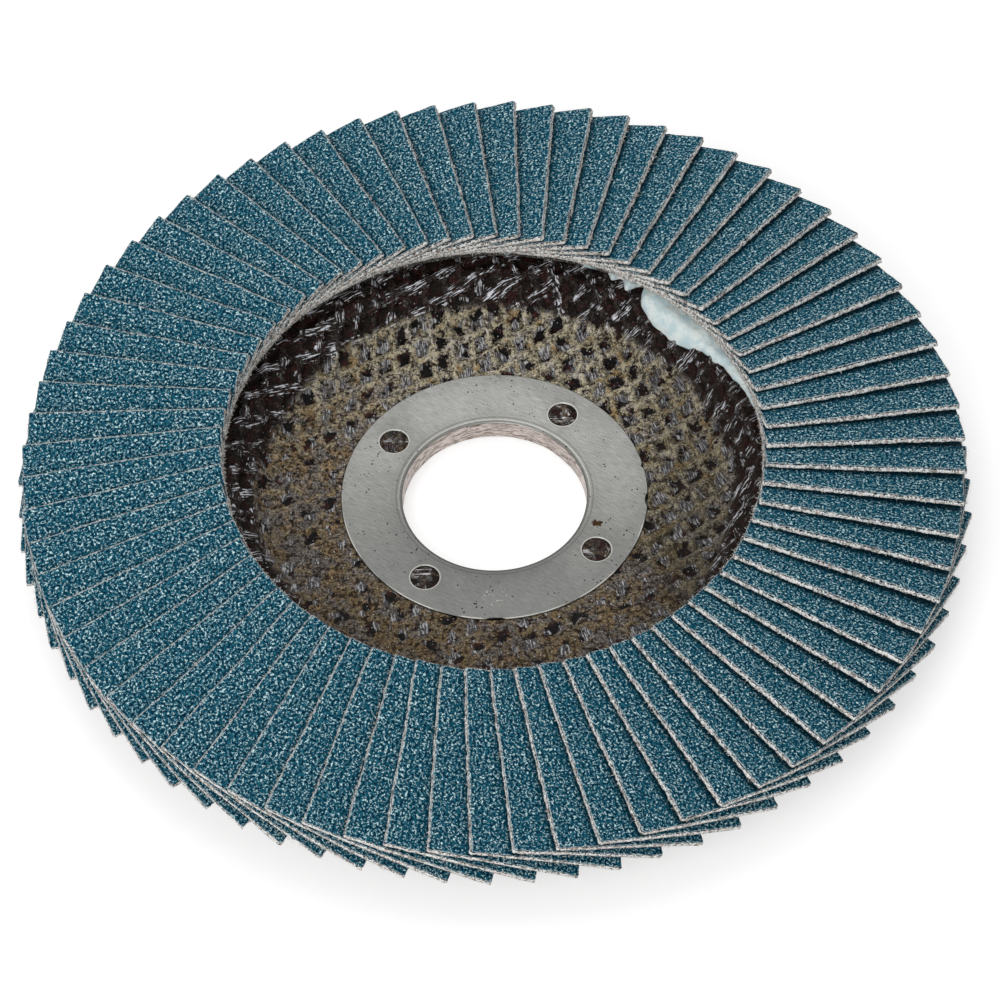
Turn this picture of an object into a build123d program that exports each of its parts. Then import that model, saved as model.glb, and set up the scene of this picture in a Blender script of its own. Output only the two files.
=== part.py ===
from build123d import *

import os
from math import asin, cos, degrees, hypot, isclose, radians, sin, tan

# A 115 mm flap disc for an angle grinder, abrasive side up.
# All sizes are in millimetres. The origin is on the bore axis, at the back face
# of the hub, which is the face that the disc lies on. +Z points out of the abrasive side.

# ---- Centre ring: pressed steel, a flat flange with a collar that lines the bore ----
bore_diameter = 22.23
ring_width = 7.4
ring_flange_thickness = 0.9
ring_collar_wall = 1.0
ring_stands_proud = 0.2
ring_lip_bevel = 0.3

# ---- Anchor holes: the plate's resin is moulded up through them and locks the ring ----
anchor_hole_diameter = 3.4
anchor_circle_inset = 3.75
anchor_hole_count = 4
anchor_start_angle = 54.7
anchor_resin_recess = 0.15

# ---- Backing plate: glass-fibre mesh in phenolic resin, moulded in one piece ----
plate_diameter = 106.0
hub_thickness = 2.8
hub_floor_radius = 27.4
recess_rise = 4.5
recess_wall_angle = 46.0
recess_wall_thickness = 2.6
rim_thickness = 2.4
rim_slope_angle = 6.2
floor_bend_radius = 2.0
sharp_bend = 0.8

# ---- Flaps: flat strips of coated cloth that overlap like a fan, each lying on the next ----
flap_count = 72
flaps_in_a_set = 2
flap_length = 24.3
flap_width = 17.8
flap_thickness = 0.62
flap_looseness = 0.04
flap_end_setback = 0.35
free_edge_offset = 5.1
fan_start_angle = 2.1

# ---- Adhesive: the epoxy bed that the glued edges of the flaps are pressed into ----
adhesive_under_flap = 0.45
adhesive_sunk_depth = 0.55
adhesive_inner_setback = 0.3
adhesive_outer_setback = 1.0

# ---- Places worked out from the sizes above ----
bore_radius = bore_diameter / 2
collar_radius = bore_radius + ring_collar_wall
ring_radius = bore_radius + ring_width
anchor_circle_radius = ring_radius - anchor_circle_inset
ring_top_z = hub_thickness + ring_stands_proud
ring_seat_z = ring_top_z - ring_flange_thickness

plate_radius = plate_diameter / 2
mouth_z = hub_thickness + recess_rise
wall_angle = radians(recess_wall_angle)
rim_slope = radians(rim_slope_angle)
recess_mouth_radius = hub_floor_radius + recess_rise / tan(wall_angle)

flap_pitch = radians(360 / flap_count)
# Where each free edge starts: the flaps' inner ends stand just behind the recess's mouth.
flap_inner_station = recess_mouth_radius + flap_end_setback
# A flap is stacked tightest over the inner end of its glued edge. There the fan climbs
# by the tilt and falls by the slope of the rim, and one layer has to fit into the rest.
flap_layer_step = flap_thickness + flap_looseness
flap_tilt = asin(
    (flap_layer_step / flap_pitch + (flap_width - free_edge_offset) * tan(rim_slope))
    / flap_inner_station
)
# The inner end of the glued edge, seen along the bore axis with the flap's line along +X.
glued_corner_x = flap_inner_station - flap_width * sin(flap_tilt) * sin(rim_slope)
glued_corner_y = flap_width * cos(flap_tilt) - free_edge_offset
glued_corner_radius = hypot(glued_corner_x, glued_corner_y)


def rim_top_z(radius):
    """Height of the plate's sloping rim, which falls away towards the outside."""
    return mouth_z - (radius - recess_mouth_radius) * tan(rim_slope)


def round_edges(part, radius, height):
    """The circular edges about the bore axis at this radius and height."""
    return [
        edge
        for edge in part.edges().filter_by(GeomType.CIRCLE)
        if isclose(edge.radius, radius) and isclose(edge.arc_center.Z, height, abs_tol=1e-6)
    ]


def anchor_circles():
    """Sketch of the anchor holes, which the ring has cut and the plate has filled."""
    with BuildSketch(Plane.XY.offset(ring_seat_z)) as circles:
        with PolarLocations(anchor_circle_radius, anchor_hole_count, anchor_start_angle):
            Circle(anchor_hole_diameter / 2)
    return circles.sketch


os.makedirs("parts", exist_ok=True)

# ==== Centre ring ====
with BuildPart() as centre_ring:
    with BuildSketch(Plane.XZ):
        with BuildLine():
            Polyline(
                (bore_radius, 0),
                (collar_radius, 0),
                (collar_radius, ring_seat_z),
                (ring_radius, ring_seat_z),
                (ring_radius, ring_top_z),
                (bore_radius, ring_top_z),
                close=True,
            )
        make_face()
    revolve(axis=Axis.Z)
    chamfer(round_edges(centre_ring, bore_radius, ring_top_z), length=ring_lip_bevel)
    extrude(anchor_circles(), amount=ring_flange_thickness, mode=Mode.SUBTRACT)

centre_ring.part.label = "centre_ring"
export_step(centre_ring.part, "parts/centre_ring.step")

# ==== Backing plate ====
# The back of the recess wall and of the rim run beside their fronts.
back_wall_shift = recess_wall_thickness / sin(wall_angle)
back_floor_radius = hub_floor_radius + back_wall_shift - hub_thickness / tan(wall_angle)
rim_drop = rim_thickness / cos(rim_slope)
# Where the back of the wall, which climbs, meets the back of the rim, which falls.
wall_climb = tan(wall_angle)
back_mouth_radius = (
    rim_top_z(0) - rim_drop + back_floor_radius * wall_climb
) / (wall_climb + tan(rim_slope))
back_mouth_z = rim_top_z(back_mouth_radius) - rim_drop

with BuildPart() as backing_plate:
    with BuildSketch(Plane.XZ):
        with BuildLine():
            Polyline(
                (collar_radius, 0),
                (back_floor_radius, 0),
                (back_mouth_radius, back_mouth_z),
                (plate_radius, rim_top_z(plate_radius) - rim_drop),
                (plate_radius, rim_top_z(plate_radius)),
                (recess_mouth_radius, mouth_z),
                (hub_floor_radius, hub_thickness),
                (ring_radius, hub_thickness),
                (ring_radius, ring_seat_z),
                (collar_radius, ring_seat_z),
                close=True,
            )
        make_face()
    revolve(axis=Axis.Z)
    # The mesh folds smoothly at the foot of the recess and more sharply at its mouth and back.
    fillet(round_edges(backing_plate, hub_floor_radius, hub_thickness), floor_bend_radius)
    sharper_bends = [
        *round_edges(backing_plate, recess_mouth_radius, mouth_z),
        *round_edges(backing_plate, back_floor_radius, 0),
    ]
    chamfer(sharper_bends, length=sharp_bend)
    # Resin plugs, which stand a little below the top of the ring.
    extrude(anchor_circles(), amount=ring_flange_thickness - anchor_resin_recess)

backing_plate.part.label = "backing_plate"
export_step(backing_plate.part, "parts/backing_plate.step")

# ==== One flap, with its radial line along +X ====
free_edge_z = (
    rim_top_z(glued_corner_radius)
    + adhesive_under_flap
    + flap_width * sin(flap_tilt) * cos(rim_slope)
)
# This plane slopes outwards with the rim. Its x runs along the free edge's underside.
rim_slope_plane = Plane(
    origin=(flap_inner_station, -free_edge_offset, free_edge_z),
    x_dir=(cos(rim_slope), 0, -sin(rim_slope)),
    z_dir=(sin(rim_slope), 0, cos(rim_slope)),
)
# Tilted about the free edge, it goes down to the glued edge on the adhesive.
flap_underside = rim_slope_plane.rotated((-degrees(flap_tilt), 0, 0))
with BuildPart() as flap:
    with BuildSketch(flap_underside):
        Rectangle(flap_length, flap_width, align=(Align.MIN, Align.MIN))
    extrude(amount=flap_thickness)

# ==== The fan: each node is a set of flaps that are spaced evenly round the disc ====
for set_number in range(flap_count // flaps_in_a_set):
    set_angle = fan_start_angle + set_number * degrees(flap_pitch)
    with BuildPart() as flap_set:
        with PolarLocations(0, flaps_in_a_set, set_angle):
            add(flap.part)
    set_name = f"flap_pair_{set_number + 1:02d}"
    flap_set.part.label = set_name
    export_step(flap_set.part, f"parts/{set_name}.step")

# ==== Adhesive bed: its top is the saw-tooth that the glued edges press into it ====
adhesive_inner_radius = glued_corner_radius + adhesive_inner_setback
adhesive_outer_radius = plate_radius - adhesive_outer_setback
adhesive_height = adhesive_under_flap + adhesive_sunk_depth
with BuildPart() as adhesive_ring:
    with BuildSketch(Plane.XZ):
        with BuildLine():
            Polyline(
                (adhesive_inner_radius, rim_top_z(adhesive_inner_radius)),
                (adhesive_outer_radius, rim_top_z(adhesive_outer_radius)),
                (adhesive_outer_radius, rim_top_z(adhesive_outer_radius) + adhesive_height),
                (adhesive_inner_radius, rim_top_z(adhesive_inner_radius) + adhesive_height),
                close=True,
            )
        make_face()
    revolve(axis=Axis.Z)
    with PolarLocations(0, flap_count, fan_start_angle):
        add(flap.part, mode=Mode.SUBTRACT)

adhesive_ring.part.label = "adhesive_ring"
export_step(adhesive_ring.part, "parts/adhesive_ring.step")
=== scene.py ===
import math

import bmesh
import bpy
import numpy as np
from mathutils import Matrix, Vector
from mathutils.geometry import delaunay_2d_cdt


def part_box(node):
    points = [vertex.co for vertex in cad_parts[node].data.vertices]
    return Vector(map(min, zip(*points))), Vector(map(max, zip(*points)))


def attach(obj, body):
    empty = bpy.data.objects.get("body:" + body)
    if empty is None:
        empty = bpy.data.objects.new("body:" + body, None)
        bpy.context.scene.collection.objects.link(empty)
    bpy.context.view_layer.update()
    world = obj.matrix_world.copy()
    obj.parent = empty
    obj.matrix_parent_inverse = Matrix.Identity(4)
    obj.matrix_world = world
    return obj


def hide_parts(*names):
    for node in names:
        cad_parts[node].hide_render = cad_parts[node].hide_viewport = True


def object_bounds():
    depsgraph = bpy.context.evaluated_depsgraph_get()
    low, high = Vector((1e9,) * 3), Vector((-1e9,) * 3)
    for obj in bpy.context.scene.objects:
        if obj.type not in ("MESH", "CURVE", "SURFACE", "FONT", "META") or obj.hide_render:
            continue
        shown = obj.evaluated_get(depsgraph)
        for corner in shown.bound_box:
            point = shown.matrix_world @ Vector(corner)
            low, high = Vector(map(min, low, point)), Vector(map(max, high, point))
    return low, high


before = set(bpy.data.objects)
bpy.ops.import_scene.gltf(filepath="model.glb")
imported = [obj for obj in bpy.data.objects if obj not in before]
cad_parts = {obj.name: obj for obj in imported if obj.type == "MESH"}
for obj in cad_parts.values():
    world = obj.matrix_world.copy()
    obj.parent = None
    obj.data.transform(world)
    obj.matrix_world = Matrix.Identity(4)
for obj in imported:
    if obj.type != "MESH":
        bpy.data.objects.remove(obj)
cad_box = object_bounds()

# Shapes are worked out in millimetres and written to the meshes in metres.
MM = 0.001
WELD_REACH = 0.004
SEED = 20


# ---- Noise and meshes ----
NOISE_TABLE = np.random.default_rng(SEED).random((64, 64, 64))


def lattice_noise(points, cell, seed=0):
    """Smooth noise from -1 to 1 at each point, with features about one cell wide."""
    at = np.asarray(points, float) / cell + (seed * 17.31, seed * 5.77, seed * 11.93)
    low = np.floor(at).astype(int)
    part = at - low
    part = part * part * (3 - 2 * part)
    total = np.zeros(len(at))
    for corner in np.ndindex(2, 2, 2):
        weight = np.prod(np.where(corner, part, 1 - part), axis=1)
        total += weight * NOISE_TABLE[tuple(((low + corner) % 64).T)]
    return total * 2 - 1


def smoothstep(low, high, value):
    """0 below low, 1 above high, and a smooth ramp between them."""
    share = np.clip((np.asarray(value, float) - low) / (high - low), 0, 1)
    return share * share * (3 - 2 * share)


def hump(value, centre, width, power=2):
    """1 at the centre, falling to 0 within about this width on either side."""
    return np.exp(-(((value - centre) / width) ** power))


def grid_lines(*stretches):
    """Positions along one direction. Each stretch is (start, end, number of steps)."""
    lines = [np.linspace(start, end, steps + 1) for start, end, steps in stretches]
    return np.unique(np.round(np.concatenate(lines), 6))


def brick_shell(x_lines, y_lines, z_lines):
    """The surface of a brick as a grid: its points, in lattice order, and its quads."""
    shape = (len(x_lines), len(y_lines), len(z_lines))
    inside = np.zeros(shape, bool)
    inside[1:-1, 1:-1, 1:-1] = True
    index = np.full(shape, -1)
    index[~inside] = np.arange((~inside).sum())
    points = np.stack(np.meshgrid(x_lines, y_lines, z_lines, indexing="ij"), axis=-1)[~inside]
    quads = []
    for axis in range(3):
        for side in (0, -1):
            sheet = np.take(index, side, axis=axis)
            corners = (sheet[:-1, :-1], sheet[1:, :-1], sheet[1:, 1:], sheet[:-1, 1:])
            faces = np.stack(corners, axis=-1).reshape(-1, 4)
            # The sheets that look along +x, -y and +z already turn outwards.
            outwards = (side == -1) != (axis == 1)
            quads.append(faces if outwards else faces[:, ::-1])
    return points, np.concatenate(quads)


def add_object(name, data):
    piece = bpy.data.objects.new(name, data)
    bpy.context.scene.collection.objects.link(piece)
    return piece


def mesh_object(name, parts, material, **attributes):
    """A smooth-shaded mesh object. Each part is (points, faces), in millimetres in the row frame.

    Each attribute is a list of arrays, one for each part.
    """
    points, faces = [], []
    for part_points, part_faces in parts:
        faces += [[int(corner) + len(points) for corner in face] for face in part_faces]
        points += (np.asarray(part_points) * MM).tolist()
    mesh = bpy.data.meshes.new(name)
    mesh.from_pydata(points, [], faces)
    for key, values in attributes.items():
        values = np.concatenate(values).astype(np.float32)
        kind, field = ("FLOAT_VECTOR", "vector") if values.ndim == 2 else ("FLOAT", "value")
        mesh.attributes.new(key, kind, "POINT").data.foreach_set(field, values.ravel())
    mesh.materials.append(material)
    mesh.polygons.foreach_set("use_smooth", [True] * len(mesh.polygons))
    mesh.update()
    return add_object(name, mesh)


def corner_ways(last, spot, after):
    """The ways from a corner to its neighbours, and half the angle between them."""
    ways = [(other - spot) / np.linalg.norm(other - spot) for other in (last, after)]
    return *ways, math.acos(float(np.clip(ways[0] @ ways[1], -1, 1))) / 2


def rounded_profile(corners):
    """Points (radius, height) along a profile. Each corner is (radius, height, rounding, step).

    The rounding is the radius of the bend at that corner, and the step is how far apart the
    points are on the way to the next corner. The first and the last corner stay sharp.
    """
    spots = [np.array(corner[:2], float) for corner in corners]
    line = []
    for number, (spot, (_, _, rounding, step)) in enumerate(zip(spots, corners)):
        if rounding and 0 < number < len(spots) - 1:
            to_last, to_next, half = corner_ways(spots[number - 1], spot, spots[number + 1])
            middle = to_last + to_next
            centre = spot + middle / np.linalg.norm(middle) * rounding / math.sin(half)
            start = spot + to_last * rounding / math.tan(half) - centre
            end = spot + to_next * rounding / math.tan(half) - centre
            turns = max(2, math.ceil((math.pi - 2 * half) * rounding / min(step, rounding / 2)))
            for share in np.linspace(0, 1, turns + 1):
                ray = start * (1 - share) + end * share
                line.append(centre + ray / np.linalg.norm(ray) * rounding)
        else:
            line.append(spot)
        if number + 1 < len(spots):
            here, there = line[-1], spots[number + 1]
            length = np.linalg.norm(there - here)
            way = (there - here) / length
            next_rounding = corners[number + 1][2]
            if next_rounding and number + 2 < len(spots):
                length -= next_rounding / math.tan(corner_ways(spot, there, spots[number + 2])[2])
            pieces = max(1, round(length / step))
            line += [here + way * length * k / pieces for k in range(1, pieces)]
    return np.array(line)


def profile_normals(line):
    """Directions square to the profile, on the left-hand side of its way."""
    way = np.gradient(line, axis=0)
    way /= np.linalg.norm(way, axis=1)[:, None]
    return np.stack((-way[:, 1], way[:, 0]), axis=1)


def turned_faces(rows, columns, closed_profile):
    """Quads of a turned surface, row by row. Its outside is on the profile's left."""
    row = np.arange(rows if closed_profile else rows - 1)[:, None] * columns
    next_row = (row + columns) % (rows * columns)
    column = np.arange(columns)
    after = (column + 1) % columns
    corners = (row + column, next_row + column, next_row + after, row + after)
    return np.stack(corners, axis=-1).reshape(-1, 4)


def turn(line, columns):
    """The turned points of a profile as (rows, columns, 3)."""
    angles = np.arange(columns) / columns * math.tau
    radius, height = line[:, :1], line[:, 1:]
    x, y = np.cos(angles) * radius, np.sin(angles) * radius
    return np.stack((x, y, height + x * 0), axis=-1)


def weld(piece):
    """Joins the points that parts of one mesh share."""
    work = bmesh.new()
    work.from_mesh(piece.data)
    bmesh.ops.remove_doubles(work, verts=work.verts, dist=WELD_REACH * MM)
    work.to_mesh(piece.data)
    work.free()


# ---- Material building blocks ----
class Shader:
    """One node tree, with short calls for the nodes that the recipes use."""

    def __init__(self, name, owners=bpy.data.materials):
        self.owner = owners.new(name)
        self.owner.use_nodes = True
        self.tree = self.owner.node_tree
        self.tree.nodes.clear()

    def node(self, kind, settings=None, inputs=None):
        """Adds a node and returns its outputs."""
        node = self.tree.nodes.new(kind)
        for key, value in (settings or {}).items():
            setattr(node, key, value)
        for key, value in (inputs or {}).items():
            socket = node.inputs[key]
            if isinstance(value, bpy.types.NodeSocket):
                self.tree.links.new(value, socket)
            elif isinstance(value, tuple) and len(value) == 3 and socket.type == "RGBA":
                socket.default_value = (*value, 1)
            else:
                socket.default_value = value
        return node.outputs

    def math(self, operation, *values):
        settings = {"operation": operation}
        return self.node("ShaderNodeMath", settings, dict(enumerate(values)))[0]

    def times(self, first, second):
        return self.math("MULTIPLY", first, second)

    def plus(self, first, second):
        return self.math("ADD", first, second)

    def minus(self, first, second):
        return self.math("SUBTRACT", first, second)

    def scaled(self, value, scale, shift):
        """The value times scale, plus shift."""
        return self.math("MULTIPLY_ADD", value, scale, shift)

    def most(self, first, second):
        return self.math("MAXIMUM", first, second)

    def least(self, first, second):
        return self.math("MINIMUM", first, second)

    def vector_math(self, operation, *values, output=0):
        settings = {"operation": operation}
        return self.node("ShaderNodeVectorMath", settings, dict(enumerate(values)))[output]

    def length(self, vector):
        return self.vector_math("LENGTH", vector, output="Value")

    def axes(self, vector):
        return self.node("ShaderNodeSeparateXYZ", None, {0: vector})

    def point(self, *numbers):
        return self.node("ShaderNodeCombineXYZ", None, dict(enumerate(numbers)))[0]

    def attribute(self, name, output="Fac"):
        return self.node("ShaderNodeAttribute", {"attribute_name": name})[output]

    def place(self):
        """The point on the piece, in millimetres."""
        coordinates = self.node("ShaderNodeTexCoord")["Object"]
        return self.vector_math("MULTIPLY", coordinates, (1 / MM,) * 3)

    def noise(self, vector, per_mm, detail=2.0, roughness=0.5):
        inputs = {"Vector": vector, "Scale": per_mm, "Detail": detail, "Roughness": roughness}
        return self.node("ShaderNodeTexNoise", None, inputs)["Fac"]

    def cells(self, vector, per_mm):
        """Distance to the nearest of many scattered spots."""
        inputs = {"Vector": vector, "Scale": per_mm}
        return self.node("ShaderNodeTexVoronoi", None, inputs)["Distance"]

    def band(self, value, low, high, start=0.0, end=1.0):
        """A smooth ramp from start at low to end at high."""
        inputs = {"Value": value, "From Min": low, "From Max": high, "To Min": start, "To Max": end}
        settings = {"interpolation_type": "SMOOTHSTEP"}
        return self.node("ShaderNodeMapRange", settings, inputs)["Result"]

    def line(self, value, centre, half_width):
        """1 where the value is at the centre, falling to 0 at half_width on either side."""
        away = self.math("ABSOLUTE", self.minus(value, centre))
        return self.band(away, 0.0, half_width, 1.0, 0.0)

    def mix(self, factor, first, second):
        inputs = {"Factor": factor, 6: first, 7: second}
        return self.node("ShaderNodeMix", {"data_type": "RGBA"}, inputs)[2]

    def blend(self, factor, first, second):
        """The same as mix, for numbers."""
        inputs = {"Factor": factor, 2: first, 3: second}
        return self.node("ShaderNodeMix", {"data_type": "FLOAT"}, inputs)[0]

    def bump(self, height, depth_mm, strength):
        inputs = {"Height": height, "Distance": depth_mm * MM, "Strength": strength}
        return self.node("ShaderNodeBump", None, inputs)["Normal"]

    def finish(self, color, roughness, normal, specular=0.5, metallic=0.0):
        """Ends the tree in a Principled surface."""
        inputs = {"Base Color": color, "Roughness": roughness, "Metallic": metallic}
        inputs["Specular IOR Level"] = specular
        if normal:
            inputs["Normal"] = normal
        surface = self.node("ShaderNodeBsdfPrincipled", None, inputs)["BSDF"]
        self.node("ShaderNodeOutputMaterial", None, {"Surface": surface})
        return self.owner


# ---- Coated cloth of the flaps ----
# Depths are below the grit side of a flap, in millimetres.
GRIT_LAYER_DEPTH = 0.20
TOP_DEPTH = 0.012
# The next flap's edge crosses this one: how far in it starts, and its slant.
COVER_START = 2.93
COVER_SPREAD = 0.0907
DARK_BLUE = (0.0006, 0.016, 0.036)
MID_BLUE = (0.016, 0.152, 0.228)
GRAIN_GLINT = (0.70, 0.96, 1.0)
WORN_RIM = (0.60, 0.63, 0.62)
SHADE_BLUE = (0.0008, 0.036, 0.062)
CONTACT_SHADE = (0.001, 0.006, 0.010)
CLOTH_PALE = (0.97, 0.97, 0.945)
CLOTH_DARK = (0.17, 0.15, 0.125)
RESIN_PINK = (0.60, 0.40, 0.34)


def coated_cloth():
    """Blue abrasive grit on pale cloth. strip is (along, across, depth) in millimetres."""
    s = Shader("abrasive_cloth")
    strip = s.attribute("strip", "Vector")
    lot = s.attribute("lot")
    along, across, depth = s.axes(strip)
    # Each flap has its own stretch of the noise.
    here = s.vector_math("ADD", strip, s.point(lot, s.times(lot, 2.7)))

    # Grains: a tone that varies at random and also sets the bump, a painted shade beside the
    # glints, and short bright glints painted where grain rims would catch light.
    patches = s.noise(here, 2.9, 0.0)
    fine = s.noise(here, 6.0, 2.0, 0.65)
    tone = s.scaled(fine, 0.62, s.times(patches, 0.55))
    grit = s.mix(s.band(tone, 0.42, 0.72), DARK_BLUE, MID_BLUE)
    contour = s.noise(here, 2.15, 1.0, 0.6)
    raised = s.band(patches, 0.49, 0.55)
    glint_shade = s.times(s.line(contour, 0.5, 0.15), s.times(raised, 0.8))
    grit = s.mix(glint_shade, grit, DARK_BLUE)
    glint = s.times(s.line(contour, 0.5, 0.050), raised)
    speck_glint = s.times(s.band(s.cells(here, 3.2), 0.24, 0.12), s.band(fine, 0.53, 0.60))
    glint = s.most(glint, speck_glint)
    grit = s.mix(glint, grit, GRAIN_GLINT)
    # Painted shade: beside the next flap's edge the grit is painted a deeper, darker blue.
    to_cover = s.minus(s.scaled(along, COVER_SPREAD, COVER_START), across)
    uncovered = s.band(to_cover, -1.6, -0.8)
    painted_edge_shade = s.band(s.scaled(patches, 0.5, to_cover), 1.35, 0.45, 0.0, 0.76)
    painted_edge_shade = s.times(painted_edge_shade, uncovered)
    grit = s.mix(painted_edge_shade, grit, SHADE_BLUE)
    # Painted shade: a thin dark line right beside the next flap's edge.
    contact_shade = s.times(s.band(to_cover, 0.42, 0.12, 0.0, 0.40), uncovered)
    grit = s.mix(contact_shade, grit, CONTACT_SHADE)

    # Cloth: cut threads at the edges, seen as small pale and dark lumps.
    threads = s.noise(here, 3.8, 2.0, 0.75)
    cloth = s.mix(s.band(threads, 0.38, 0.47), CLOTH_DARK, CLOTH_PALE)
    pinkness = s.noise(here, 1.6, 2.0, 0.6)
    cloth = s.mix(s.band(pinkness, 0.55, 0.68, 0.0, 0.6), cloth, RESIN_PINK)
    gaps = s.band(s.noise(here, 2.0, 1.0), 0.45, 0.38, 0.0, 0.65)
    cloth = s.mix(gaps, cloth, CLOTH_DARK)

    # The grit is broken away in a narrow, ragged strip along the free edge and the ends.
    ragged = s.noise(here, 2.6, 2.0, 0.7)
    to_end = s.least(along, s.minus(s.attribute("strip_length"), along))
    to_edge = s.least(s.times(to_end, 1.6), across)
    worn_width = s.scaled(ragged, 0.74, -0.25)
    worn = s.band(s.minus(to_edge, worn_width), -0.02, 0.03, 1, 0)
    on_top = s.math("LESS_THAN", depth, TOP_DEPTH)
    rim = s.times(worn, s.band(pinkness, 0.38, 0.56, 0.25, 0.85))
    top = s.mix(rim, grit, WORN_RIM)
    # On the cut sides the thin layer of grit is dark, with faint painted glints, and the cloth
    # below it.
    chip = s.scaled(s.noise(here, 3.4, 1.0), -0.8, GRIT_LAYER_DEPTH + 0.34)
    below = s.band(s.minus(depth, chip), -0.03, 0.03)
    layer = s.mix(s.times(glint, 0.5), DARK_BLUE, GRAIN_GLINT)
    side = s.mix(below, layer, cloth)
    # Painted shade: the lowest part of each cut side is darkened.
    side_shade_depth = s.scaled(ragged, 0.24, depth)
    side = s.mix(s.band(side_shade_depth, 0.69, 0.78, 0.0, 0.8), side, CLOTH_DARK)
    bare = s.blend(on_top, below, worn)

    color, rough = s.mix(on_top, side, top), s.blend(bare, 0.6, 0.9)
    return s.finish(color, rough, s.bump(tone, 0.14, 0.8), specular=0.03)


# ---- The strips, read from the frame ----
class Strip:
    """One flap's place: a corner of its grit side, its three directions and its sizes."""

    def __init__(self, corners):
        start = corners[corners[:, 2].argmax()]
        order = np.argsort(np.linalg.norm(corners - start, axis=1))
        down, across, along = (corners[order[rank]] - start for rank in (1, 2, 4))
        self.origin = start
        self.thickness, self.width, self.length = map(np.linalg.norm, (down, across, along))
        self.down = down / self.thickness
        self.across = across / self.width
        self.along = along / self.length

    def to_row(self, local):
        """Points given as (along, across, depth) in the row frame."""
        axes = np.stack((self.along, self.across, self.down))
        return self.origin + np.asarray(local) @ axes


def strips_of(node):
    """The flaps of one node. They lie apart round the disc, so they are told apart by side."""
    vertices = np.array([vertex.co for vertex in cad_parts[node].data.vertices])
    corners = np.unique(np.round(vertices / MM, 4), axis=0)
    side = corners[:, :2] @ corners[0, :2] > 0
    return [Strip(corners[side]), Strip(corners[~side])]


# ---- Flaps ----
CORNER_RADIUS = 0.10
# How far in from each edge its raggedness reaches.
END_REACH = 1.5
SIDE_REACH = 0.9
WANDER_REACH = 6
# Kept between the ragged points and the CAD's box.
EDGE_ROOM = 0.04
TOP_ROOM = 0.01
LOT_STRIDE = 31.7


def nearness(distance, reach):
    """1 at an edge, falling evenly to 0 at its reach."""
    return np.clip(1 - distance / reach, 0, 1)


def flap_points(strip, shell, lot):
    """Bends a brick shell into a cut piece of cloth, still as (along, across, depth)."""
    along, across, depth = shell.T
    length, width, thickness = strip.length, strip.width, strip.thickness
    layer = depth / thickness
    # Rounded corners: the ends draw in near the long edges.
    short = np.clip(CORNER_RADIUS - np.minimum(across, width - across), 0, None)
    inset = CORNER_RADIUS - np.sqrt(np.clip(CORNER_RADIUS**2 - short**2, 0, None))
    near_start, near_end = nearness(along, END_REACH), nearness(length - along, END_REACH)
    # Frayed edges: each layer of the cut stands in or out by its own ragged amount.
    fray = lattice_noise(np.stack((along, across, depth * 2), 1), 0.27, lot)
    fray += 0.6 * lattice_noise(np.stack((along, across, depth), 1), 1.3, lot + 50)
    edge_amount = (0.05 + 0.07 * layer) * fray + 0.05 * (layer - 0.4)
    near_free, near_glued = nearness(across, SIDE_REACH), nearness(width - across, SIDE_REACH)
    new_along = along + inset * (near_start - near_end) + edge_amount * (near_end - near_start)
    new_across = across + edge_amount * (near_glued - near_free)
    # The free edge wanders a little along its length, and the strip isn't quite straight.
    wander = lattice_noise(np.stack((along, along * 0, along * 0), 1), 6.0, lot + 9)
    in_view = nearness(across, WANDER_REACH)
    new_across += 0.10 * wander * in_view
    # No two flaps are cut and laid quite alike.
    draw = np.random.default_rng(SEED * 1000 + lot)
    new_along += draw.uniform(0, 0.22) * near_start - draw.uniform(0, 0.30) * near_end
    new_across += draw.normal(0, 0.05) * in_view
    grain = lattice_noise(np.stack((along, across, along * 0), 1), 0.42, lot + 3)
    relief = 0.022 * (1 + grain) * (layer < 0.01)
    return np.stack((new_along, new_across, depth + relief), axis=1)


def within_cad(points):
    """Keeps ragged points within the height and the reach of the CAD's flaps."""
    edge, top = cad_box[1][0] / MM - EDGE_ROOM, cad_box[1][2] / MM - TOP_ROOM
    reach = np.hypot(points[:, 0], points[:, 1])
    points[:, :2] *= np.minimum(1, edge / reach)[:, None]
    points[:, 2] = np.minimum(points[:, 2], top)
    return points


def make_flaps(node, number, material):
    """The flaps of one node, as one piece."""
    parts, places, lots, lengths = [], [], [], []
    for order, strip in enumerate(strips_of(node)):
        lot = number * 2 + order
        length, width, thickness = strip.length, strip.width, strip.thickness
        shell, faces = brick_shell(
            grid_lines((0, 1.2, 5), (1.2, length - 1.2, 84), (length - 1.2, length, 5)),
            grid_lines((0, 0.6, 3), (0.6, 6.0, 7), (6.0, width - 1.2, 2), (width - 1.2, width, 4)),
            grid_lines((0, thickness, 3)),
        )
        points = within_cad(strip.to_row(flap_points(strip, shell, lot)))
        # Along, across and down turn left-handed, so the faces are reversed.
        parts.append((points, faces[:, ::-1]))
        places.append(shell)
        lots.append(np.full(len(shell), lot * LOT_STRIDE))
        lengths.append(np.full(len(shell), length))
    name = f"flaps_{number:02d}"
    piece = mesh_object(name, parts, material, strip=places, lot=lots, strip_length=lengths)
    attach(piece, "root")
    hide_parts(node)


# Each frayed edge: its name, its number of threads and the longest of them.
FRAYED_EDGES = (("free", 54, 0.30), ("inner", 40, 0.30), ("outer", 44, 0.16))
ROOT_DEPTH = 0.02
CORNERS = 3
# A thread's sides, its root and its tip.
THREAD_FACES = [*turned_faces(3, CORNERS, False), (0, 1, 2), (8, 7, 6)]


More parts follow.
